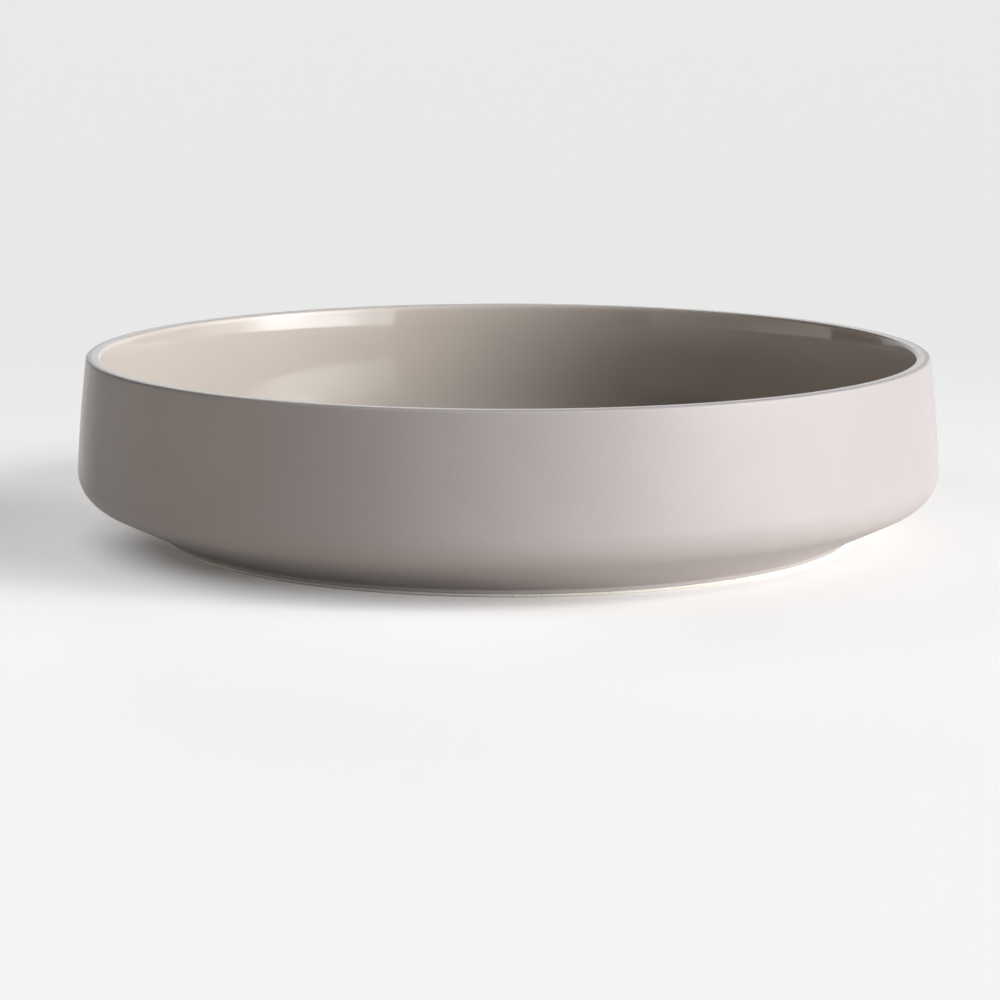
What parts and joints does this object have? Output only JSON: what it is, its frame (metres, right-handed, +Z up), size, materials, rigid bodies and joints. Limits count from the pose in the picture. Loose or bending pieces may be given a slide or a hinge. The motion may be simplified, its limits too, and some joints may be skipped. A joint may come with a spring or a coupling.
{
  "type": "pasta bowl",
  "caption": "Wide, shallow glazed stoneware pasta bowl with an upright wall, a rounded shoulder, a flat lip and a low bare foot ring.",
  "frame": {"origin": "centre of the foot ring, on the surface that the bowl stands on", "axes": "+Z up along the bowl's axis of symmetry, through the open mouth; +X and +Y are any two level directions, since the bowl is round"},
  "size_m": [0.23, 0.23, 0.0486],
  "materials": {
    "bare_clay": "unglazed, sponged smooth",
    "gloss_glaze": "glossy",
    "matte_glaze": "satin matte",
    "underside_glaze": "satin matte"
  },
  "bodies": {
    "root": {"stoneware_body": "bare_clay", "inner_gloss_glaze": "gloss_glaze", "outer_matte_glaze": "matte_glaze", "underside_glaze": "underside_glaze"}
  },
  "joints": []
}
